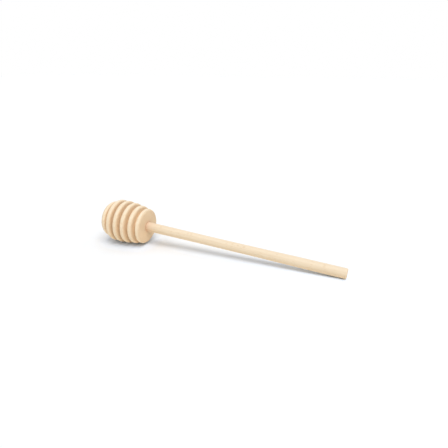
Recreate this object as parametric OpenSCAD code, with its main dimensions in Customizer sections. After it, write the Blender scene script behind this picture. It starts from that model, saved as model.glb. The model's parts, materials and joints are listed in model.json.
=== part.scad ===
// Wooden honey dipper: a turned, grooved head with a turned handle glued into its rear face.
//
// Each piece is drawn upright on its turning axis, Z. The head's rear face lies at z = 0, its nose
// is at the top, and the handle runs down from the rear face. on_table() then lays the dipper down
// on the plane z = 0, where it rests on one of its rings and on the edge of the handle's end.

/* [Head] */
// Largest diameter of the head, measured over the rings
head_d = 28; // [25:0.5:31]
// Diameter of the head at its rear face, before the edge is rounded
rear_d = 22.2; // [20:0.2:24.6]
// Diameter of the head at its nose, before the edge is rounded
nose_d = 16.4; // [13:0.2:24]
// Distance from the head's widest point to its nose
nose_reach = 11; // [8:0.5:14]
// Radius of the nose's slightly domed end
nose_dome = 30; // [24:1:120]

/* [Rings and grooves] */
// Number of rings, with the rear disc and the nose cap
ring_count = 6; // [4:1:8]
// Thickness of a ring along the axis, where its walls would meet the head's outline
ring_w = 2.9; // [2:0.05:4]
// Thickness of the rear disc, which carries the handle
rear_disc_w = 2.6; // [2.4:0.1:5]
// Thickness of the nose cap along the axis
nose_cap_w = 5.1; // [4.2:0.1:8]
// Width of a honey groove at its mouth, on the head's outline
groove_w = 2.3; // [1.8:0.1:3.5]
// Lean of a groove's walls in degrees, which makes its mouth wider than its floor
wall_taper = 7; // [0:0.5:8]
// Diameter of the solid core at the bottom of the grooves
core_d = 17; // [13:0.5:19]
// Rounding of the rings' edges
ring_round = 1.35; // [0.3:0.05:1.35]
// Rounding of the rear disc's edge towards the handle
rear_round = 1.6; // [0.3:0.1:1.6]
// Rounding of the rear disc's edge towards the grooves
disc_round = 0.9; // [0.3:0.1:0.9]
// Rounding of the nose cap's front edge
nose_round = 1; // [0.5:0.1:2.6]
// Rounding in the bottom corners of the grooves
groove_round = 0.5; // [0.1:0.1:0.5]

/* [Handle] */
// Free length of the handle, from the head's rear face to its end
handle_len = 130; // [100:0.5:200]
// Diameter of the handle at the shoulder that seats on the head
neck_d = 6.2; // [5.8:0.1:8]
// Diameter of the handle at its thinnest point
waist_d = 5.8; // [4:0.1:6.6]
// Distance from the head's rear face to the handle's thinnest point
waist_reach = 60; // [30:1:65]
// Diameter of the handle's straight free end
grip_d = 6.2; // [5:0.1:8]
// Length of the straight free end, with its rounded edge
grip_len = 30; // [10:1:34]
// Rounding of the edge at the handle's free end
end_round = 0.6; // [0.2:0.1:1.5]

/* [Glued joint] */
// Diameter of the tenon that the handle's shoulder leaves
tenon_d = 5; // [3.5:0.1:5.4]
// Depth of the socket, from the head's rear face to the drill's shoulder
socket_depth = 18; // [10:0.5:20]
// Film of glue around the tenon, measured on the radius
glue_gap = 0.05; // [0.02:0.01:0.1]
// Room left for spare glue between the tenon's tip and the drill's shoulder
glue_well = 0.6; // [0.2:0.1:0.9]
// Chamfer on the tenon's tip
tip_chamfer = 0.7; // [0.3:0.1:1.2]
// Included angle of the drill's point
drill_angle = 118; // [90:1:140]

/* [Hidden] */
$fn = 96;

HEAD_WOOD = "#edd2a4";
HANDLE_WOOD = "#f0d9b0";

// Straight steps that stand for a rounded edge, a groove's corner, the nose's dome and each half of
// the handle's waist
ROUND_STEPS = 5;
CORNER_STEPS = 3;
DOME_STEPS = 4;
WAIST_STEPS = 6;
// Share of a ring's thickness that the rounding on either side may take, and the shares of the rear
// disc's thickness for its edge towards the handle and for the other one
RING_SHARE = 0.48;
REAR_SHARE = 0.62;
DISC_SHARE = 0.36;
// Least width of the flat floor between a groove's rounded corners
LEAST_FLOOR = 0.02;
// Length by which a cut runs past the face it opens
CUT_OVERRUN = 1;

pitch = ring_w + groove_w;
head_len = rear_disc_w + groove_w + (ring_count - 2) * pitch + nose_cap_w;
widest_z = head_len - nose_reach;
bore_d = tenon_d + 2 * glue_gap;
tenon_len = socket_depth - glue_well;

// Each rounding is limited by the thickness of its ring.
ring_edge = min(ring_round, RING_SHARE * ring_w);
rear_edge = min(rear_round, REAR_SHARE * rear_disc_w);
disc_edge = min(disc_round, DISC_SHARE * rear_disc_w);

// The head's outline without grooves is two circular arcs that meet, tangent, at its widest point.
function arc_radius(reach, drop) = (reach * reach + drop * drop) / (2 * drop);
rear_arc = arc_radius(widest_z, (head_d - rear_d) / 2);
nose_arc = arc_radius(nose_reach, (head_d - nose_d) / 2);
function outline_arc(z) = z < widest_z ? rear_arc : nose_arc;

// Radius of the outline at height z
function outline_r(z) =
    let (arc = outline_arc(z), offset = z - widest_z)
    head_d / 2 - arc + sqrt(arc * arc - offset * offset);

// Direction in which the outline faces at a rounding's centre, from straight out, towards the nose
function outline_angle(centre) =
    atan2(centre.y - widest_z, centre.x - head_d / 2 + outline_arc(centre.y));

// Points on an arc in the plane of the profile, from one angle to another
function arc_points(centre, radius, from, to, steps) =
    [for (i = [0 : steps]) let (a = from + (to - from) * i / steps) centre + radius * [cos(a), sin(a)]];

// Where two circles cross, on the side away from the turning axis
function crossing(centre_a, radius_a, centre_b, radius_b) =
    let (
        between = centre_b - centre_a,
        gap = norm(between),
        along = (radius_a * radius_a - radius_b * radius_b + gap * gap) / (2 * gap),
        aside = sqrt(radius_a * radius_a - along * along),
        unit = between / gap,
        away = [abs(unit.y), unit.y > 0 ? -unit.x : unit.x]
    )
    centre_a + along * unit + aside * away;

// Centre of the rounding that touches the outline and the wall that leaves the outline at height z.
// upwards is 1 for a ring's wall towards the handle, and -1 for its wall towards the nose.
function edge_centre(z, rounding, taper, upwards) =
    let (
        arc = outline_arc(z + upwards * rounding),
        arc_centre = [head_d / 2 - arc, widest_z],
        wall = [cos(taper), upwards * sin(taper)],
        inwards = [-sin(taper), upwards * cos(taper)],
        start = [outline_r(z), z] + rounding * inwards - arc_centre,
        along = start * wall,
        reach = sqrt(along * along - start * start + (arc - rounding) * (arc - rounding)) - along
    )
    arc_centre + start + reach * wall;

// A ring's edge towards the handle, from its wall to the outline
function low_edge(z, rounding, taper = wall_taper) =
    let (centre = edge_centre(z, rounding, taper, 1))
    arc_points(centre, rounding, taper - 90, outline_angle(centre), ROUND_STEPS);

// A ring's edge towards the nose, from the outline to its wall
function high_edge(z, rounding) =
    let (centre = edge_centre(z, rounding, wall_taper, -1))
    arc_points(centre, rounding, outline_angle(centre), 90 - wall_taper, ROUND_STEPS);

// The nose's front edge and dome: the rounding touches the outline and the dome, both tangent.
function nose_end() =
    let (
        dome_centre = [0, head_len - nose_dome],
        corner = crossing(
            [head_d / 2 - nose_arc, widest_z], nose_arc - nose_round,
            dome_centre, nose_dome - nose_round
        ),
        dome_angle = atan2(corner.y - dome_centre.y, corner.x)
    )
    concat(
        arc_points(corner, nose_round, outline_angle(corner), dome_angle, ROUND_STEPS),
        [for (i = [1 : DOME_STEPS])
            let (a = dome_angle + (90 - dome_angle) * i / DOME_STEPS)
            dome_centre + nose_dome * [cos(a), sin(a)]]
    );

// The floor of the groove whose walls leave the outline at heights low and high, with rounded
// corners. A corner touches the core at the distance reach times its radius from the wall's foot.
function groove_points(low, high) =
    let (
        core_r = core_d / 2,
        low_foot = low + (outline_r(low) - core_r) * tan(wall_taper),
        high_foot = high - (outline_r(high) - core_r) * tan(wall_taper),
        reach = (1 - sin(wall_taper)) / cos(wall_taper),
        corner = min(groove_round, (high_foot - low_foot - LEAST_FLOOR) / (2 * reach))
    )
    concat(
        arc_points([core_r + corner, low_foot + reach * corner], corner,
            270 - wall_taper, 180, CORNER_STEPS),
        arc_points([core_r + corner, high_foot - reach * corner], corner,
            180, 90 + wall_taper, CORNER_STEPS)
    );

// Height of the wall towards the nose of ring i, with the rear disc as ring 0
function ring_top(i) = rear_disc_w + i * pitch;

// The turned outline of the head, from its rear face to the middle of its nose
head_points = concat(
    low_edge(0, rear_edge, taper = 0),
    high_edge(rear_disc_w, disc_edge),
    [for (i = [1 : ring_count - 2])
        each concat(
            groove_points(ring_top(i - 1), ring_top(i) - ring_w),
            low_edge(ring_top(i) - ring_w, ring_edge),
            high_edge(ring_top(i), ring_edge)
        )],
    groove_points(ring_top(ring_count - 2), head_len - nose_cap_w),
    low_edge(head_len - nose_cap_w, ring_edge),
    nose_end()
);

// The handle is slightly waisted: two parabolas that meet, level, at its thinnest point.
straight_z = grip_len - handle_len;
function waist_points(from_z, to_z, end_r) =
    [for (i = [0 : WAIST_STEPS])
        let (share = i / WAIST_STEPS)
        [waist_d / 2 + (end_r - waist_d / 2) * share * share, from_z + (to_z - from_z) * share]];
function reversed(points) = [for (i = [len(points) - 1 : -1 : 0]) points[i]];

// Lying down: the handle's end touches the table with its rounding, and the head with the profile
// point that lifts it most. lean is the angle between the dipper's axis and the table.
end_centre = [grip_d / 2 - end_round, end_round - handle_len];
function lean_on(point) =
    let (from_end = point - end_centre)
    atan2(from_end.x, from_end.y) - asin(end_round / norm(from_end));
lean = max([for (point = head_points) lean_on(point)]);
axis_height = end_round + end_centre.x * cos(lean) - end_centre.y * sin(lean);

// Where the nose and the handle's end reach along the table, from the centre of the rear face
nose_reach_x = max([for (point = head_points) point.y * cos(lean) + point.x * sin(lean)]);
end_reach_x = end_round + end_centre.x * sin(lean) - end_centre.y * cos(lean);

// Lays a piece down with the nose towards -X, and the origin under the middle of the dipper
module on_table() {
    translate([(nose_reach_x - end_reach_x) / 2, 0, axis_height])
        rotate([0, lean - 90, 0])
            children();
}

// The blind hole in the rear face that takes the tenon, with the cone that a drill leaves
module socket() {
    translate([0, 0, -CUT_OVERRUN])
        cylinder(d = bore_d, h = socket_depth + CUT_OVERRUN);
    translate([0, 0, socket_depth])
        cylinder(d1 = bore_d, d2 = 0, h = bore_d / 2 / tan(drill_angle / 2));
}

// The head: rings on a solid core, all turned from one blank
module head() {
    color(HEAD_WOOD)
        on_table()
            difference() {
                rotate_extrude()
                    polygon(concat([[0, 0]], head_points));
                socket();
            }
}

// The handle: a shoulder on the head's rear face, with a chamfered tenon in the socket, a slight
// waist, and a straight free end with a rounded edge
module handle() {
    tenon_r = tenon_d / 2;
    color(HANDLE_WOOD)
        on_table()
            rotate_extrude()
                polygon(concat(
                    [[0, -handle_len]],
                    arc_points(end_centre, end_round, -90, 0, ROUND_STEPS),
                    reversed(waist_points(-waist_reach, straight_z, grip_d / 2)),
                    [for (i = [1 : WAIST_STEPS]) waist_points(-waist_reach, 0, neck_d / 2)[i]],
                    [[tenon_r, 0], [tenon_r, tenon_len - tip_chamfer]],
                    [[tenon_r - tip_chamfer, tenon_len], [0, tenon_len]]
                ));
}

head();
handle();
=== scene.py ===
# %% [markdown]
# A honey dipper of bare, pale wood lies on a white sheet. It is two turned pieces: a head with
# honey rings, cut from a thick blank, and a slim handle whose tenon is glued into the head. The
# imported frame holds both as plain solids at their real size. This lesson turns finer ones in the
# same place, gives them the grain of beech, and lights them like a product picture.

# %% Load the frame
import bpy
import json
import math
from mathutils import Matrix, Vector, noise


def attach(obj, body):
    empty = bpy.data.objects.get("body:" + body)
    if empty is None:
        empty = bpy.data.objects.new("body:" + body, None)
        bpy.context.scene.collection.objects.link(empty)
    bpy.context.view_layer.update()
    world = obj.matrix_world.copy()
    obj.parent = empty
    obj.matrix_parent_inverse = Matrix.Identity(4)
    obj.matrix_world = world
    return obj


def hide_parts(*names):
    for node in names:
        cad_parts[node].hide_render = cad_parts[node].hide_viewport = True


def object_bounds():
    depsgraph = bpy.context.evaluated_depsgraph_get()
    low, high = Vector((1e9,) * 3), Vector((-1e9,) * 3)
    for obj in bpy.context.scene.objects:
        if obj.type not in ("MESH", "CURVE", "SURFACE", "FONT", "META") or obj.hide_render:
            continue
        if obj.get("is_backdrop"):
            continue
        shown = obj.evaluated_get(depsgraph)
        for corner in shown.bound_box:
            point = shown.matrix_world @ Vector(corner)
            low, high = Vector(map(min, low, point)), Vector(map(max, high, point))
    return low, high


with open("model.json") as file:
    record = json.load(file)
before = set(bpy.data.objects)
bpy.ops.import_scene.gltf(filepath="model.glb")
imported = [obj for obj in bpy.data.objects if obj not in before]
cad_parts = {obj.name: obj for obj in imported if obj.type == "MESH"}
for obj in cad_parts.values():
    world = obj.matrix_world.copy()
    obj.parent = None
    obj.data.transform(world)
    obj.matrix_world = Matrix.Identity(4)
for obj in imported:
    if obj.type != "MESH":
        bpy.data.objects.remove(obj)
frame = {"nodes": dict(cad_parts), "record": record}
cad_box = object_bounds()
mounts = {mount["name"]: mount for mount in frame["record"]["mounts"]}
print("solids:", sorted(frame["nodes"]))

# %% [markdown]
# Both pieces are drawn upright, as they stand between the centres of a lathe, with Z as the turning
# axis, z = 0 in the head's rear face and the nose up. One matrix then lays them down where the
# frame's solids lie. It could be worked out again from the rings' sizes, but the frame already
# knows the answer: the mount on the handle's end gives the axis, and the head's lowest corner along
# that axis lies in the rear face.

# %% Find the turning axis
MM = 0.001
end_face = Vector(mounts["handle_end"]["pos_m"])
to_nose = -Vector(mounts["handle_end"]["axis"]).normalized()


def reaches(node):
    """Lowest and highest corner of a solid along the turning axis, from the handle's end"""
    corners = frame["nodes"][node].data.vertices
    heights = [(corner.co - end_face).dot(to_nose) for corner in corners]
    return min(heights), max(heights)


rear_reach, nose_reach = reaches("head")
tenon_reach = reaches("handle")[1]
across = Vector((0, 1, 0))
lay_down = Matrix((across.cross(to_nose), across, to_nose)).transposed().to_4x4()
lay_down.translation = end_face + to_nose * rear_reach
handle_len = rear_reach / MM
head_len = (nose_reach - rear_reach) / MM
tenon_len = (tenon_reach - rear_reach) / MM
print(f"handle {handle_len:.2f} mm, head {head_len:.2f} mm, tenon {tenon_len:.2f} mm")

# %% [markdown]
# A lathe makes every surface the same way: a tool follows an outline while the wood spins. In mesh
# code, an outline of (radius, height, groove depth, edge) points is repeated round the axis. The
# first and the last point lie on the axis and close the mesh with a fan of triangles. A Screw
# modifier could spin an outline too, but own code can move each corner a little, as real wood is
# never quite round.

# %% Corners and faces of a turned mesh
FACETS = 192
angles = [2 * math.pi * i / FACETS for i in range(FACETS)]
following = [(i + 1) % FACETS for i in range(FACETS)]


def turned_corners(outline, unevenness):
    """Corners in millimetres: one on the axis, a circle for each point between, one on the axis"""
    start, *turned, end = outline
    corners = [(0, 0, start[1])]
    for radius, height, _, edge in turned:
        for angle in angles:
            r = radius + unevenness(angle, radius, height, edge)
            corners.append((r * math.cos(angle), r * math.sin(angle), height))
    return corners + [(0, 0, end[1])]


def turned_faces(circles):
    """A fan of triangles, bands of quads between the circles of corners, and another fan"""
    faces = [(0, 1 + following[i], 1 + i) for i in range(FACETS)]
    for circle in range(circles - 1):
        low = 1 + circle * FACETS
        high = low + FACETS
        for i in range(FACETS):
            faces.append((low + i, low + following[i], high + following[i], high + i))
    last = 1 + (circles - 1) * FACETS
    return faces + [(last + i, last + following[i], last + FACETS) for i in range(FACETS)]


print("facets round the axis:", FACETS)

# %% [markdown]
# The finish needs to know how each spot was made: where it stood on the lathe, how far the tool had
# travelled, whether it lies in a groove, and whether it rounds an edge. The mesh carries this as
# attributes. They are stored before the piece is laid down, so the grain of the wood stays with the
# piece and not with the table.

# %% A lathe for meshes
SMOOTH_ANGLE = math.radians(32)


def mark_circles(mesh, outline):
    """Stores the tool's path in millimetres, the groove and the edge on each circle of corners"""
    path = [0.0]
    for before, after in zip(outline, outline[1:]):
        path.append(path[-1] + math.dist(before[:2], after[:2]))
    grooves, edges = [point[2] for point in outline], [point[3] for point in outline]
    for label, values in {"tool_path": path, "groove": grooves, "edge": edges}.items():
        spread = [value for value in values[1:-1] for _ in range(FACETS)]
        spread = [values[0], *spread, values[-1]]
        mesh.attributes.new(label, "FLOAT", "POINT").data.foreach_set("value", spread)


def spin(name, outline, unevenness):
    """An outline turned round the axis and laid down in the frame"""
    corners = turned_corners(outline, unevenness)
    in_metres = [[MM * value for value in corner] for corner in corners]
    mesh = bpy.data.meshes.new(name)
    mesh.from_pydata(in_metres, [], turned_faces(len(outline) - 2))
    mesh.shade_smooth()
    mesh.set_sharp_from_angle(angle=SMOOTH_ANGLE)
    mark_circles(mesh, outline)
    stood = mesh.attributes.new("on_lathe", "FLOAT_VECTOR", "POINT")
    stood.data.foreach_set("vector", [value for corner in corners for value in corner])
    mesh.transform(lay_down)
    piece = bpy.data.objects.new(name, mesh)
    bpy.context.scene.collection.objects.link(piece)
    return piece


print("edges sharper than", round(math.degrees(SMOOTH_ANGLE)), "degrees stay sharp")

# %% [markdown]
# The head is a barrel with a rear disc, four rings and a nose cap. The outline of its rings follows
# two circular arcs that meet at the widest point. A turner first shapes this barrel, then plunges a
# narrow tool to the core for each groove, and last rounds the rings' edges. The next cells put the
# outline together in the same order: barrel, roundings, grooves.

# %% The barrel
HEAD_D = 28.0
REAR_D = 22.2
NOSE_D = 16.4
NOSE_REACH = 11.0
widest_z = head_len - NOSE_REACH


def arc_radius(reach, drop):
    """Radius of the arc that falls by drop over the distance reach"""
    return (reach * reach + drop * drop) / (2 * drop)


rear_arc = arc_radius(widest_z, (HEAD_D - REAR_D) / 2)
nose_arc = arc_radius(NOSE_REACH, (HEAD_D - NOSE_D) / 2)


def barrel(height, inset=0.0):
    """Radius of the barrel at a height, moved inwards by inset"""
    bend = rear_arc if height < widest_z else nose_arc
    return HEAD_D / 2 - bend + math.sqrt((bend - inset) ** 2 - (height - widest_z) ** 2)


def barrel_angle(radius, height):
    """Direction in which the barrel faces beside a point, from straight out towards the nose"""
    bend = rear_arc if height < widest_z else nose_arc
    return math.atan2(height - widest_z, radius - HEAD_D / 2 + bend)


print(f"barrel arcs {rear_arc:.1f} and {nose_arc:.1f} mm, widest at {widest_z:.1f} mm")

# %% [markdown]
# An outline is a list of points. Three helpers draw it: arcs in small steps, so that the light
# rolls over each edge, points strictly between two others, and a joiner that lines up stretches
# with points along the straight walls between them.

# %% Arcs and straight stretches
ARC_STEP = math.radians(7.5)
WALL_STEP = 0.45
QUARTER = math.pi / 2


def arc(centre, radius, start, stop, edge=0.0, groove=0.0):
    """Points (radius, height, groove depth, edge) on an arc round a centre"""
    steps = max(2, math.ceil(abs(stop - start) / ARC_STEP))
    turns = [start + (stop - start) * i / steps for i in range(steps + 1)]
    places = [(centre[0] + radius * math.cos(a), centre[1] + radius * math.sin(a)) for a in turns]
    return [(*place, groove, edge) for place in places]


def between(first, last, step, height_to_radius=None):
    """Points strictly between two others, straight or on the barrel"""
    count = math.ceil(math.dist(first[:2], last[:2]) / step)
    points = []
    for i in range(1, count):
        share = i / count
        point = [a + (b - a) * share for a, b in zip(first, last)]
        if height_to_radius:
            point[0] = height_to_radius(point[1])
            point[3] = 0.0
        points.append(tuple(point))
    return points


def joined(*stretches, step=WALL_STEP):
    """One outline from several stretches, with points along the straight walls between them"""
    outline = list(stretches[0])
    for stretch in stretches[1:]:
        outline += between(outline[-1], stretch[0], step) + list(stretch)
    return outline


print("a quarter circle has", len(arc((0, 0), 1, 0, QUARTER)), "points")

# %% [markdown]
# A ring's rim is two roundings with a sliver of the barrel between them. Each rounding touches the
# barrel and the wall of a groove. The walls lean a little, as a pointed tool leaves them, so each
# groove is wider at its mouth than at its floor. The centre of a rounding has no simple formula, so
# it is moved until it fits. Twelve moves are plenty.

# %% Rim of a ring
RING_ROUND = 1.35
WALL_TAPER = math.radians(7)
FIT_MOVES = 12


def edge_centre(height, rounding, taper, upwards):
    """Centre of a rounding that touches the barrel and the wall that leaves it at a height"""
    radius, place = barrel(height), height + upwards * rounding
    for _ in range(FIT_MOVES):
        inside = barrel(place, rounding)
        shift = (rounding - (radius - inside) * math.sin(taper)) / math.cos(taper)
        place = height + upwards * shift
    return barrel(place, rounding), place


def lower_edge(height, rounding, taper):
    """Rounding at the start of a rim"""
    centre = edge_centre(height, rounding, taper, 1)
    return arc(centre, rounding, taper - QUARTER, barrel_angle(*centre), edge=1.0)


def upper_edge(height, rounding):
    """Rounding at the end of a rim"""
    centre = edge_centre(height, rounding, WALL_TAPER, -1)
    return arc(centre, rounding, barrel_angle(*centre), QUARTER - WALL_TAPER, edge=1.0)


def ring(low, high, low_round=RING_ROUND, high_round=RING_ROUND, low_taper=WALL_TAPER):
    """Rim of a ring between two heights: an edge, the barrel, an edge"""
    return joined(lower_edge(low, low_round, low_taper), upper_edge(high, high_round))


print("rounding of", RING_ROUND, "mm, walls lean", round(math.degrees(WALL_TAPER)), "degrees")

# %% [markdown]
# The grooves hold the honey. Each ends on a common core, and the tool's rounded nose leaves soft
# corners there, which are easier to wash than sharp ones.

# %% Floor of a groove
GROOVE_W = 2.3
GROOVE_ROUND = 0.5
CORE_D = 17.0


def groove_floor(low, high):
    """Floor of a groove between two walls that leave the barrel at two heights"""
    core = CORE_D / 2
    low_foot = low + (barrel(low) - core) * math.tan(WALL_TAPER)
    high_foot = high - (barrel(high) - core) * math.tan(WALL_TAPER)
    reach = (1 - math.sin(WALL_TAPER)) / math.cos(WALL_TAPER) * GROOVE_ROUND
    first = (core + GROOVE_ROUND, low_foot + reach)
    second = (core + GROOVE_ROUND, high_foot - reach)
    return joined(
        arc(first, GROOVE_ROUND, 3 * QUARTER - WALL_TAPER, 2 * QUARTER, groove=1.0),
        arc(second, GROOVE_ROUND, 2 * QUARTER, QUARTER + WALL_TAPER, groove=1.0),
    )


print(f"grooves {GROOVE_W} mm wide, core {CORE_D} mm thick")

# %% [markdown]
# The nose cap is nearly twice as wide as the other rings. It follows the barrel to the nose and
# ends in a slightly domed face with a small rounding, where the blank was cut off and sanded. The
# rounding touches the barrel and the dome, and its centre is found by moving it again.

# %% Nose cap
NOSE_DOME = 30.0
NOSE_ROUND = 1.0
NOSE_EDGE = 0.3
NOSE_FIT_MOVES = 60
DOME_STEPS = 14


def nose_cap(low):
    """The last ring: its edge towards the grooves, the barrel, a rounding and the domed end"""
    lower = lower_edge(low, RING_ROUND, WALL_TAPER)
    dome_z = head_len - NOSE_DOME
    height = widest_z
    for _ in range(NOSE_FIT_MOVES):
        reach_up = math.sqrt((nose_arc - NOSE_ROUND) ** 2 - (height - widest_z) ** 2)
        radius = HEAD_D / 2 - nose_arc + reach_up
        height = dome_z + math.sqrt((NOSE_DOME - NOSE_ROUND) ** 2 - radius ** 2)
    start = math.atan2(height - dome_z, radius)
    rounding = arc((radius, height), NOSE_ROUND, barrel_angle(radius, height), start, NOSE_EDGE)
    turns = [start + (QUARTER - start) * i / DOME_STEPS for i in range(1, DOME_STEPS)]
    dome = [(NOSE_DOME * math.cos(a), dome_z + NOSE_DOME * math.sin(a), 0, 0) for a in turns]
    on_barrel = between(lower[-1], rounding[0], WALL_STEP, barrel)
    return lower + on_barrel + rounding + dome + [(0, head_len, 0, 0)]


print("nose dome radius:", NOSE_DOME, "mm")

# %% [markdown]
# Now the whole outline, from the tip of the drilled socket out to the rear disc, over rings and
# grooves, and in to the middle of the nose. The rear disc is thinner than a ring. Its outer edge is
# well rounded, because a hand meets it first.

# %% Outline of the head
RING_COUNT = 6
RING_W = 2.9
REAR_DISC_W = 2.6
REAR_ROUND = 1.6
DISC_ROUND = 0.9
SOCKET_DEPTH = 18.0
BORE_D = 5.1
DRILL_HALF_ANGLE = math.radians(59)


def head_outline():
    """The whole outline of the head, from the tip of its socket to the middle of its nose"""
    bore = BORE_D / 2
    tip = SOCKET_DEPTH + bore / math.tan(DRILL_HALF_ANGLE)
    socket = [(0, tip, 1, 0), (bore, SOCKET_DEPTH, 1, 0), (bore, 0, 0, 0)]
    stretches = [socket, ring(0, REAR_DISC_W, REAR_ROUND, DISC_ROUND, low_taper=0.0)]
    low = REAR_DISC_W
    for _ in range(RING_COUNT - 2):
        stretches += [groove_floor(low, low + GROOVE_W)]
        low += GROOVE_W
        stretches += [ring(low, low + RING_W)]
        low += RING_W
    stretches += [groove_floor(low, low + GROOVE_W), nose_cap(low + GROOVE_W)]
    return joined(*stretches)


head_points = head_outline()
print("head outline:", len(head_points), "points")

# %% [markdown]
# The plain solid of the frame was made from the same sizes with coarser steps. So each of its
# corners has to lie on the new outline. Their distance from it shows whether the two still agree.

# %% Compare the outline with the solid
from_rear = lay_down.inverted()


def miss(corner):
    """Distance of a point (radius, height) from the nearest stretch of the head's outline"""
    best = math.inf
    for (r0, z0, *_), (r1, z1, *_) in zip(head_points, head_points[1:]):
        run = (r1 - r0, z1 - z0)
        share = ((corner[0] - r0) * run[0] + (corner[1] - z0) * run[1]) / math.hypot(*run) ** 2
        share = min(1.0, max(0.0, share))
        best = min(best, math.dist(corner, (r0 + share * run[0], z0 + share * run[1])))
    return best


stood_at = [from_rear @ corner.co for corner in frame["nodes"]["head"].data.vertices]
solid_corners = {(round(math.hypot(p.x, p.y) / MM, 2), round(p.z / MM, 2)) for p in stood_at}
farthest = max(miss(corner) for corner in solid_corners)
print(f"{len(solid_corners)} corners, farthest {farthest:.3f} mm from the outline")

# %% [markdown]
# Wood moves after it has been turned, and a plunging tool tears the fibres a little where it leaves
# an edge. So a real ring is not quite round, and its edges carry small nicks. Both are only a few
# hundredths of a millimetre here, and they are the same on each run, because the noise has no
# random start.

# %% Turn the head
OVAL = 0.02
NICK_DEPTH = 0.07
NICK_LENGTH = 1.1
NICK_FROM = 0.25
NICK_SHORTENED = 2


def head_unevenness(angle, radius, height, edge):
    """Radial error of the head: a slight oval, and nicks along the rings' edges"""
    if radius < BORE_D:
        return 0.0
    place = Vector((radius * math.cos(angle), radius * math.sin(angle), height * NICK_SHORTENED))
    nick = max(0.0, noise.noise(place / NICK_LENGTH) - NICK_FROM)
    return -OVAL * (1 - math.cos(2 * angle)) / 2 - edge * NICK_DEPTH * nick


grooved_head = spin("grooved_head", head_points, head_unevenness)
print("grooved_head:", len(grooved_head.data.vertices), "vertices")

# %% [markdown]
# The handle is turned from a thin square strip. It has a shoulder that closes on the head, a tenon
# that fills the socket, a slight waist, and a straight free end. Sandpaper softens both edges.

# %% Outline of the handle
NECK_D = 6.2
WAIST_D = 5.8
WAIST_REACH = 60.0
GRIP_D = 6.2
GRIP_LEN = 30.0
END_ROUND = 0.6
SHOULDER_ROUND = 0.5
TENON_D = 5.0
TIP_CHAMFER = 0.7
HANDLE_STEP = 1.2


def handle_radius(height):
    """Radius of the handle's shank: two parabolas that meet, level, at the waist"""
    below = height < -WAIST_REACH
    far, wide = (GRIP_LEN - handle_len, GRIP_D) if below else (0.0, NECK_D)
    share = min(1.0, max(0.0, (height + WAIST_REACH) / (far + WAIST_REACH)))
    return WAIST_D / 2 + (wide - WAIST_D) / 2 * share ** 2


def handle_outline():
    """The whole outline of the handle, from the middle of its end to the tip of its tenon"""
    centre = (GRIP_D / 2 - END_ROUND, END_ROUND - handle_len)
    end_edge = arc(centre, END_ROUND, -QUARTER, 0.0, edge=1.0)
    centre = (NECK_D / 2 - SHOULDER_ROUND, -SHOULDER_ROUND)
    shoulder = arc(centre, SHOULDER_ROUND, 0.0, QUARTER, edge=1.0)
    shank = between(end_edge[-1], shoulder[0], HANDLE_STEP, handle_radius)
    tenon = TENON_D / 2
    stub = [(tenon, 0, 0, 0), (tenon, tenon_len - TIP_CHAMFER, 0, 0)]
    tip = [(tenon - TIP_CHAMFER, tenon_len, 0, 0), (0, tenon_len, 0, 0)]
    face = joined([(0, -handle_len, 0, 0)], end_edge)
    return face + shank + shoulder + joined(stub, step=HANDLE_STEP) + tip


print("handle outline:", len(handle_outline()), "points")

# %% [markdown]
# A thin strip bends away from the tool while it is turned. That leaves long, very shallow waves on
# the shank, and its two edges carry nicks like those of the rings. The tenon stays true, because it
# has to fit.

# %% Turn the handle
WAVE = 0.03
HALF_WAVE = 19.0
HANDLE_NICK_LENGTH = 0.8
HANDLE_NICK_FROM = 0.2


def handle_unevenness(angle, radius, height, edge):
    """Radial error of the handle: waves along the shank, and nicks along its edges"""
    if height > -1 or radius < TENON_D / 2:
        return 0.0
    wave = noise.noise(Vector((math.cos(angle), math.sin(angle), height / HALF_WAVE)))
    place = Vector((radius * math.cos(angle), radius * math.sin(angle), height))
    nick = max(0.0, noise.noise(place / HANDLE_NICK_LENGTH) - HANDLE_NICK_FROM)
    return -WAVE * (1 + wave) / 2 * (1 - edge) - edge * NICK_DEPTH * nick


turned_handle = spin("turned_handle", handle_outline(), handle_unevenness)
print("turned_handle:", len(turned_handle.data.vertices), "vertices")

# %% [markdown]
# Both pieces take the place of their solids in the frame and ride on its only body.

# %% Put the pieces in the frame
for piece, node, slot in (
    (grooved_head, "head", "head_wood"),
    (turned_handle, "handle", "handle_wood"),
):
    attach(piece, "root")
    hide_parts(node)
    print(piece.name, "stands in for", node)

# %% [markdown]
# Wood is a solid texture: every cut face shows the same rings, fibres and rays, only from another
# side. So the pattern is worked out in space, in millimetres on the turning axis, and not wrapped
# on the surface. A few small helpers keep the node code short.

# %% Node helpers


def add_node(tree, kind, inputs=(), output=0, **settings):
    """Adds a node, sets or links its inputs, and returns one of its outputs"""
    made = tree.nodes.new(kind)
    for key, value in settings.items():
        setattr(made, key, value)
    for key, value in inputs.items() if isinstance(inputs, dict) else enumerate(inputs):
        if isinstance(value, bpy.types.NodeSocket):
            tree.links.new(value, made.inputs[key])
        elif value is not None:
            made.inputs[key].default_value = value
    return made.outputs[output]


def calc(tree, operation, *values):
    """A Math node"""
    return add_node(tree, "ShaderNodeMath", values, operation=operation)


def weighted(tree, *terms):
    """The sum of values times their weights, from (value, weight) pairs"""
    total = calc(tree, "MULTIPLY", *terms[0])
    for value, weight in terms[1:]:
        total = calc(tree, "ADD", total, calc(tree, "MULTIPLY", value, weight))
    return total


def scaled(tree, vector, factors):
    """A vector times a vector"""
    return add_node(tree, "ShaderNodeVectorMath", (vector, factors), operation="MULTIPLY")


def split(tree, vector):
    """The three parts of a vector"""
    parts = tree.nodes.new("ShaderNodeSeparateXYZ")
    tree.links.new(vector, parts.inputs[0])
    return parts.outputs


print("helpers: add_node, calc, weighted, scaled, split")

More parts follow.
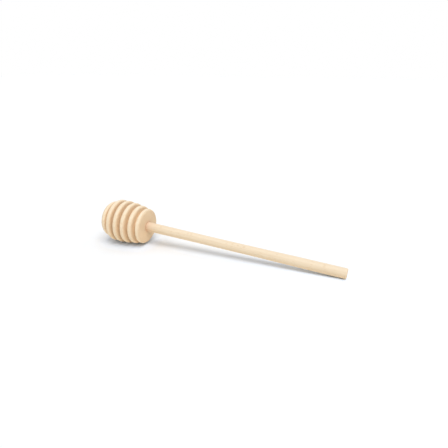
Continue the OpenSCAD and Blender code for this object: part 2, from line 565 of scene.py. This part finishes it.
# %% [markdown]
# Patterns need four more: a soft step, a mix of two colours, a cloud of noise, and a way to read
# what the mesh carries. All of them are plain nodes, so an exporter can bake them.

# %% Pattern helpers


def rise(tree, value, low, high, to_low=0.0, to_high=1.0):
    """A smooth step from to_low to to_high as value goes from low to high"""
    inputs = {
        "Value": value, "From Min": low, "From Max": high, "To Min": to_low, "To Max": to_high,
    }
    return add_node(tree, "ShaderNodeMapRange", inputs, interpolation_type="SMOOTHSTEP")


def tint(tree, share, first, second, how="MIX"):
    """A colour mixed from two"""
    inputs = {0: share, 6: first, 7: second}
    return add_node(tree, "ShaderNodeMix", inputs, output=2, data_type="RGBA", blend_type=how)


def cloud(tree, vector, scale=1.0, detail=2.0, roughness=0.5):
    """A noise value round 0.5"""
    inputs = {"Vector": vector, "Scale": scale, "Detail": detail, "Roughness": roughness}
    return add_node(tree, "ShaderNodeTexNoise", inputs, output="Fac")


def mark(tree, label, output="Fac"):
    """What the mesh carries under a label"""
    return add_node(tree, "ShaderNodeAttribute", output=output, attribute_name=label)


print("helpers: rise, tint, cloud, mark")

# %% [markdown]
# Each blank is sawn off to one side of the tree's heart, so the growth rings cross it as wide arcs.
# The distance from a line beside the blank gives them. In beech they are only a shade darker
# towards their outer edge, where the late wood ends at once and the next spring begins.

# %% Growth rings
GROWTH_RING = 1.9
LATE_FROM = 0.35
LATE_FULL = 0.93
LATE_END = 0.94
TREE_LEAN = 0.02
WANDER = 2.6
WANDER_STRETCH = (1, 1, 0.12)
WANDER_SCALE = 0.08


def growth(tree, place, pith):
    """Darkness of the late wood, distance from the tree's heart, and angle round it"""
    slow = cloud(tree, scaled(tree, place, WANDER_STRETCH), WANDER_SCALE)
    to_heart = (place, (-pith[0], -pith[1], 0))
    x, y, z = split(tree, add_node(tree, "ShaderNodeVectorMath", to_heart, operation="ADD"))
    x = calc(tree, "ADD", x, calc(tree, "MULTIPLY", z, TREE_LEAN))
    squares = calc(tree, "ADD", calc(tree, "MULTIPLY", x, x), calc(tree, "MULTIPLY", y, y))
    distance = calc(tree, "SQRT", squares)
    phase = calc(tree, "DIVIDE", distance, GROWTH_RING)
    phase = calc(tree, "ADD", phase, calc(tree, "MULTIPLY", slow, WANDER))
    within = calc(tree, "FRACT", phase)
    late = rise(tree, within, LATE_FROM, LATE_FULL)
    late = calc(tree, "MULTIPLY", late, rise(tree, within, 1.0, LATE_END))
    return late, distance, calc(tree, "ARCTAN2", y, x)


print("growth rings", GROWTH_RING, "mm apart")

# %% [markdown]
# Rays run from the heart outwards as thin ribbons. Where the surface faces the heart they show
# their ends as short dark dashes along the grain, the mark by which beech is known. Cells that are
# thin round the heart, tall along the grain and very long outwards give all of these views at once.

# %% Rays
RAY_SPACING = 0.42
RAY_HEIGHT = 3.6
RAY_REACH = 20.0
RAY_OUTSIDE = 0.3
RAY_INSIDE = 0.16


def rays(tree, distance, angle, height, pith):
    """One in the middle of a ray and 0 beside it"""
    round_heart = calc(tree, "MULTIPLY", angle, math.hypot(*pith) / RAY_SPACING)
    outwards = calc(tree, "DIVIDE", distance, RAY_REACH)
    along = calc(tree, "DIVIDE", height, RAY_HEIGHT)
    cells = add_node(tree, "ShaderNodeCombineXYZ", (round_heart, outwards, along))
    inputs = {"Vector": cells, "Scale": 1.0}
    near = add_node(tree, "ShaderNodeTexVoronoi", inputs, output="Distance")
    return rise(tree, near, RAY_OUTSIDE, RAY_INSIDE)


print("rays", RAY_SPACING, "mm apart, up to", RAY_HEIGHT, "mm tall")

# %% [markdown]
# Between the rays run the fibres. Noise that is stretched along the grain gives them: broad soft
# streaks, and fine ones for the narrow pores. A slow drift keeps them from being ruler-straight.

# %% Fibres
DRIFT_STRETCH = (0.05, 0.05, 0.02)
BEND = (1.4, 1.1, 0)
BROAD_STRETCH = (1.6, 1.6, 0.05)
FINE_STRETCH = (6.5, 6.5, 0.35)
FIBRE_ROUGHNESS = 0.6


def fibres(tree, place):
    """Fine streaks along the grain: broad soft ones and narrow pores"""
    drift = cloud(tree, scaled(tree, place, DRIFT_STRETCH), detail=0)
    shifts = (place, scaled(tree, drift, BEND))
    bent = add_node(tree, "ShaderNodeVectorMath", shifts, operation="ADD")
    broad = cloud(tree, scaled(tree, bent, BROAD_STRETCH), detail=3, roughness=FIBRE_ROUGHNESS)
    fine = cloud(tree, scaled(tree, bent, FINE_STRETCH), detail=2, roughness=FIBRE_ROUGHNESS)
    return broad, fine


print("pores about", round(1 / FINE_STRETCH[0], 2), "mm apart")

# %% [markdown]
# Faces that cut the fibres across, such as the rear disc and the walls of the grooves, drink more
# light and look browner. The normal's share along the grain finds them. All that is known about a
# spot of wood is gathered under plain names, because its colour, roughness and relief share it.

# %% Grain of a blank
CUT_FROM = 0.3
CUT_FULL = 0.9


def grain(tree, pith):
    """What is known about a spot of wood, for a tree's heart at pith, in millimetres"""
    place = mark(tree, "on_lathe", "Vector")
    height = split(tree, place)["Z"]
    late, distance, angle = growth(tree, place, pith)
    broad, fine = fibres(tree, place)
    faces = (add_node(tree, "ShaderNodeTexCoord", output="Normal"), to_nose)
    along = add_node(tree, "ShaderNodeVectorMath", faces, output="Value", operation="DOT_PRODUCT")
    return {
        "place": place, "height": height, "late": late, "broad": broad, "fine": fine,
        "ray": rays(tree, distance, angle, height, pith),
        "cut": rise(tree, calc(tree, "ABSOLUTE", along), CUT_FROM, CUT_FULL),
    }


print("end grain starts on faces that lean", round(math.degrees(math.asin(CUT_FROM))), "degrees")

# %% [markdown]
# The corner between the handle and the rear face gets painted shade: the wood is made a little
# deeper in tone there, standing in for the shade that falls into the corner. The painted shade
# fades over about two millimetres on the face, and more slowly along the handle. It could be
# painted on the mesh, but as a share worked out from the place it stays sharp at any distance.

# %% Painted shade of the corner
CORNER_ON_FACE = 2.0
CORNER_ON_HANDLE = 2.4
CORNER_FADE = 9.0
CORNER_OVERLAP = 0.2
LAYER_FULL = 1.0
LAYER_END = 2.0
REAR_FACE = -0.02
FACE_SHARE = 0.35
NEAR_SHARE = 0.35
FAR_SHARE = 0.45


def corner_shade_share(tree, place, height):
    """Share of painted shade, strongest in the corner between handle and rear face, falling to 0
    along both
    """
    flat = (scaled(tree, place, (1, 1, 0)),)
    off_axis = add_node(tree, "ShaderNodeVectorMath", flat, output="Value", operation="LENGTH")
    root = NECK_D / 2
    on_face = rise(tree, off_axis, root + CORNER_ON_FACE, root - CORNER_OVERLAP)
    layer = rise(tree, height, LAYER_END, LAYER_FULL)
    on_face = calc(tree, "MULTIPLY", calc(tree, "MULTIPLY", on_face, layer), FACE_SHARE)
    near = rise(tree, height, -CORNER_ON_HANDLE, CORNER_OVERLAP, 0.0, NEAR_SHARE)
    far = rise(tree, height, -CORNER_FADE, 0.0, 0.0, FAR_SHARE)
    on_handle = calc(tree, "ADD", near, far)
    behind = calc(tree, "LESS_THAN", height, REAR_FACE)
    return add_node(tree, "ShaderNodeMix", {0: behind, 2: on_face, 3: on_handle})


# How far the painted shade of the corner reaches along the handle
print("corner tone fades over", CORNER_FADE, "mm of the handle")

# %% [markdown]
# Bare beech is pale, with a warmer tone where late wood, fibres and slow blotches come together.
# End grain has its own, browner pair of colours. A piece's tone multiplies the colour of its sides,
# since each blank comes from another tree.

# %% Colour of the wood
PALE = (0.96, 0.83, 0.638, 1)
WARM = (0.895, 0.728, 0.517, 1)
END_GRAIN = (0.90, 0.722, 0.512, 1)
END_GRAIN_DARK = (0.82, 0.60, 0.396, 1)
RAY_TONE = (0.88, 0.80, 0.70, 1)
RAY_SHARE = 0.4
# Painted shade: the colour that darkens the wood in the corner by the handle
CORNER_SHADE = (0.84, 0.70, 0.68, 1)
BLOTCH_STRETCH = (0.09, 0.09, 0.025)
LATE_SHARE = 0.30
STREAK_SHARE = 0.35
STREAK_RANGE = (0.35, 0.7)
BLOTCH_RANGE = (0.3, 0.75)
MIDDLE = 0.5
CUT_LATE_SHARE = 0.35
CUT_PORE_SHARE = 0.45


def wood_colour(tree, spot, tone):
    """Colour of the wood from its grain, with painted shade in the corner by the handle"""
    blotch = cloud(tree, scaled(tree, spot["place"], BLOTCH_STRETCH), detail=3)
    shade = weighted(
        tree,
        (spot["late"], LATE_SHARE),
        (rise(tree, spot["broad"], *STREAK_RANGE), STREAK_SHARE),
        (rise(tree, blotch, *BLOTCH_RANGE), STREAK_SHARE),
        (calc(tree, "SUBTRACT", spot["fine"], MIDDLE), STREAK_SHARE),
    )
    side = tint(tree, 1.0, tint(tree, shade, PALE, WARM), tone, how="MULTIPLY")
    cut_shade = weighted(tree, (spot["late"], CUT_LATE_SHARE), (spot["fine"], CUT_PORE_SHARE))
    wood = tint(tree, spot["cut"], side, tint(tree, cut_shade, END_GRAIN, END_GRAIN_DARK))
    ray_share = calc(tree, "MULTIPLY", spot["ray"], RAY_SHARE)
    wood = tint(tree, ray_share, wood, RAY_TONE, how="MULTIPLY")
    # Painted shade in the corner between handle and rear face
    corner_shade = corner_shade_share(tree, spot["place"], spot["height"])
    return tint(tree, corner_shade, wood, CORNER_SHADE, how="MULTIPLY")


print("beech from", PALE[:3], "to", WARM[:3])

# %% [markdown]
# Bare wood scatters light, so it stays rough. Pores and end grain are rougher still. Sandpaper
# smooths the edges but can't reach the floors of the grooves, so the roughness follows the two
# marks that the mesh carries. The relief is far too fine for geometry: pores, rays that stand a
# little lower, and the lines that the tool left along its path.

# %% Roughness and relief of the wood
ROUGH = 0.50
PORE_ROUGH = 0.16
CUT_ROUGH = 0.12
GROOVE_ROUGH = 0.10
EDGE_SMOOTH = 0.08
TOOL_LINES = 3.2
PORE_DEPTH = 0.5
LINE_DEPTH = 0.6
RAY_DEPTH = 0.2
RELIEF_STRENGTH = 0.5
RELIEF_MM = 0.03


def wood_roughness(tree, spot):
    """Roughness of the wood from its grain and from how it was worked"""
    extra = weighted(
        tree,
        (spot["fine"], PORE_ROUGH),
        (spot["cut"], CUT_ROUGH),
        (mark(tree, "groove"), GROOVE_ROUGH),
        (mark(tree, "edge"), -EDGE_SMOOTH),
    )
    return calc(tree, "ADD", extra, ROUGH)


def wood_relief(tree, spot):
    """Normal of the wood with pores, rays and tool lines"""
    path = add_node(tree, "ShaderNodeCombineXYZ", (mark(tree, "tool_path"), 0.0, 0.0))
    lines = cloud(tree, path, TOOL_LINES)
    terms = ((spot["fine"], PORE_DEPTH), (lines, LINE_DEPTH), (spot["ray"], -RAY_DEPTH))
    inputs = {
        "Height": weighted(tree, *terms), "Strength": RELIEF_STRENGTH, "Distance": RELIEF_MM * MM,
    }
    return add_node(tree, "ShaderNodeBump", inputs, output="Normal")


print("relief up to", RELIEF_MM, "mm deep")

# %% [markdown]
# One recipe serves both pieces. Each gets its own heart of the tree, because head and handle are
# cut from different blanks, and the handle's strip is a shade darker.

# %% Bare beech
GLOSS = 0.3
HEAD_PITH = (-31.0, 17.0)
HEAD_TONE = (1, 1, 1, 1)
HANDLE_PITH = (22.0, 30.0)
HANDLE_TONE = (0.94, 0.925, 0.92, 1)


def bare_beech(name, pith, tone):
    """Bare turned beech of a certain tone, with the tree's heart at pith, in millimetres"""
    material = bpy.data.materials.new(name)
    material.use_nodes = True
    tree = material.node_tree
    shader = tree.nodes["Principled BSDF"]
    shader.inputs["Specular IOR Level"].default_value = GLOSS
    spot = grain(tree, pith)
    tree.links.new(wood_colour(tree, spot, tone), shader.inputs["Base Color"])
    tree.links.new(wood_roughness(tree, spot), shader.inputs["Roughness"])
    tree.links.new(wood_relief(tree, spot), shader.inputs["Normal"])
    return material


for piece, pith, tone in (
    (grooved_head, HEAD_PITH, HEAD_TONE),
    (turned_handle, HANDLE_PITH, HANDLE_TONE),
):
    piece.data.materials.append(bare_beech(piece.name + "_beech", pith, tone))
    print("wood on", piece.name)

# %% [markdown]
# The dipper lies on a large sheet of paper, as in product pictures. A photographer curves it up
# behind the object, to hide its far edge. One flat quad is enough here, because its far edge is as
# white as what is seen behind it.

# %% White sheet
SHEET_SIZE = 6.0
half = SHEET_SIZE / 2
sheet_corners = [(-half, -half, 0), (half, -half, 0), (half, half, 0), (-half, half, 0)]
sheet_mesh = bpy.data.meshes.new("sheet")
sheet_mesh.from_pydata(sheet_corners, [], [(0, 1, 2, 3)])
sheet = bpy.data.objects.new("sheet", sheet_mesh)
bpy.context.scene.collection.objects.link(sheet)
sheet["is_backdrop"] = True
print("sheet", SHEET_SIZE, "m wide")

# %% [markdown]
# The paper is a warm white, and throws slightly warm light up at the wood. A product picture shows
# it as pure white with a neutral grey shadow, so only the camera sees it in a cooler white. Right
# beside the wood most of its light comes from the wood, which tints it orange. Ambient occlusion
# finds these places, and the shown white is cooler still there, painted over that orange light.
# With a wider reach it finds the surroundings of the wood, where the shown white is darkened into a
# painted shadow that makes the soft edge of the shadow a little fuller.

# %% Matt paper
WARM_WHITE = (0.98, 0.93, 0.84, 1)
SHOWN_WHITE = (0.957, 0.982, 1.012, 1)
SHOWN_BY_WOOD = (1.02, 1.24, 1.58, 1)
BY_WOOD = 9 * MM
NEAR_WOOD = 25 * MM
DIMMED = (0.78, 0.78, 0.78, 1)
paper = bpy.data.materials.new("paper")
paper.use_nodes = True
tree = paper.node_tree
tree.nodes.remove(tree.nodes["Principled BSDF"])


def open_share(distance):
    """One where nothing stands over the sheet within a distance, and less where something does"""
    return add_node(tree, "ShaderNodeAmbientOcclusion", {"Distance": distance}, output="AO")


shown = tint(tree, open_share(BY_WOOD), SHOWN_BY_WOOD, SHOWN_WHITE)
# Painted shadow: the shown white is dimmed where the wood stands within the wider reach
shown = tint(tree, 1.0, shown, tint(tree, open_share(NEAR_WOOD), DIMMED, (1, 1, 1, 1)), "MULTIPLY")
seen = add_node(tree, "ShaderNodeLightPath", output="Is Camera Ray")
matt = add_node(tree, "ShaderNodeBsdfDiffuse", {"Color": tint(tree, seen, WARM_WHITE, shown)})
tree.links.new(matt, tree.nodes["Material Output"].inputs["Surface"])
sheet_mesh.materials.append(paper)
print("paper shown as", SHOWN_WHITE[:3])

# %% [markdown]
# Nearly half of the light comes from one wide soft lamp, high in front of the dipper and a little
# to the right of the camera. It is so far away that it lights the whole sheet evenly, so a sun lamp
# with a wide angle does its work. Its strength is set by how much light it brings to the sheet.

# %% Soft lamp
CAMERA_RIGHT = Vector((0.9311, 0.3648, 0))
CAMERA_AWAY = Vector((-0.3648, 0.9311, 0))
LAMP_RIGHT = 0.2
LAMP_TOWARDS = 0.44
LAMP_ANGLE = math.radians(40)
KEY = 0.463
lamp_from = CAMERA_RIGHT * LAMP_RIGHT - CAMERA_AWAY * LAMP_TOWARDS + Vector((0, 0, 1))
lamp_from.normalize()
key_data = bpy.data.lights.new("soft_key", "SUN")
key_data.angle = LAMP_ANGLE
key_data.energy = KEY * math.pi / lamp_from.z
key = bpy.data.objects.new("soft_key", key_data)
bpy.context.scene.collection.objects.link(key)
key.rotation_euler = lamp_from.to_track_quat("Z", "Y").to_euler()
print(f"lamp from {tuple(round(v, 2) for v in lamp_from)}, strength {key_data.energy:.2f}")

# %% [markdown]
# The rest of the light comes from all round, as in a light tent whose roof glows more than its
# walls. The world's own direction gives that glow, from the walls' level to the roof's. Camera and
# mirror images see the tent as plain white.

# %% Light tent
WALLS = 0.167
ROOF = 0.687
ROOF_FALL = 3.0
world = bpy.data.worlds.new("light_tent")
world.use_nodes = True
tree = world.node_tree
towards = split(tree, add_node(tree, "ShaderNodeTexCoord", output="Generated"))
inputs = {"Value": towards["Z"], "From Min": -1.0, "From Max": 1.0}
upwards = add_node(tree, "ShaderNodeMapRange", inputs)
roof = calc(tree, "MULTIPLY", calc(tree, "POWER", upwards, ROOF_FALL), ROOF)
path = tree.nodes.new("ShaderNodeLightPath").outputs
straight = calc(tree, "MAXIMUM", path["Is Camera Ray"], path["Is Glossy Ray"])
straight = calc(tree, "MAXIMUM", straight, path["Is Transmission Ray"])
inputs = {"Value": straight, "To Min": calc(tree, "ADD", roof, WALLS), "To Max": 1.0}
background = tree.nodes["Background"].inputs
tree.links.new(add_node(tree, "ShaderNodeMapRange", inputs), background["Strength"])
background["Color"].default_value = (1, 1, 1, 1)
bpy.context.scene.world = world
bpy.context.scene.view_settings.view_transform = "Standard"
print(f"tent from {WALLS} at its foot to {ROOF + WALLS:.3f} overhead")

# %% [markdown]
# The camera looks down at the dipper from in front and from the right, from about a hand's breadth
# above the table. It stands close and its lens is short, so the near end of the handle looks
# thicker than the end at the head, although both measure the same.

# %% Camera
CAMERA_PLACE = Vector((0.09357, -0.2071, 0.1120))
CAMERA_TARGET = Vector((0.00312, 0.0235, 0.0))
LENS_MM = 32.14
SENSOR_MM = 36
SHIFT_X = -0.0249
SHIFT_Y = 0.0407
camera_data = bpy.data.cameras.new("camera")
camera_data.sensor_width = SENSOR_MM
camera_data.lens = LENS_MM
camera_data.shift_x = SHIFT_X
camera_data.shift_y = SHIFT_Y
camera = bpy.data.objects.new("camera", camera_data)
bpy.context.scene.collection.objects.link(camera)
camera.location = CAMERA_PLACE
camera.rotation_euler = (CAMERA_TARGET - CAMERA_PLACE).to_track_quat("-Z", "Y").to_euler()
bpy.context.scene.camera = camera
print("camera at", tuple(round(v, 4) for v in CAMERA_PLACE))

# %% [markdown]
# The finer pieces have to fill the same box as the solids. Both boxes are written down.

# %% Write the sizes
visual_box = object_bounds()
for label, box in (("CAD", cad_box), ("visual", visual_box)):
    print(label, "box in mm:", [[round(value / MM, 2) for value in corner] for corner in box])
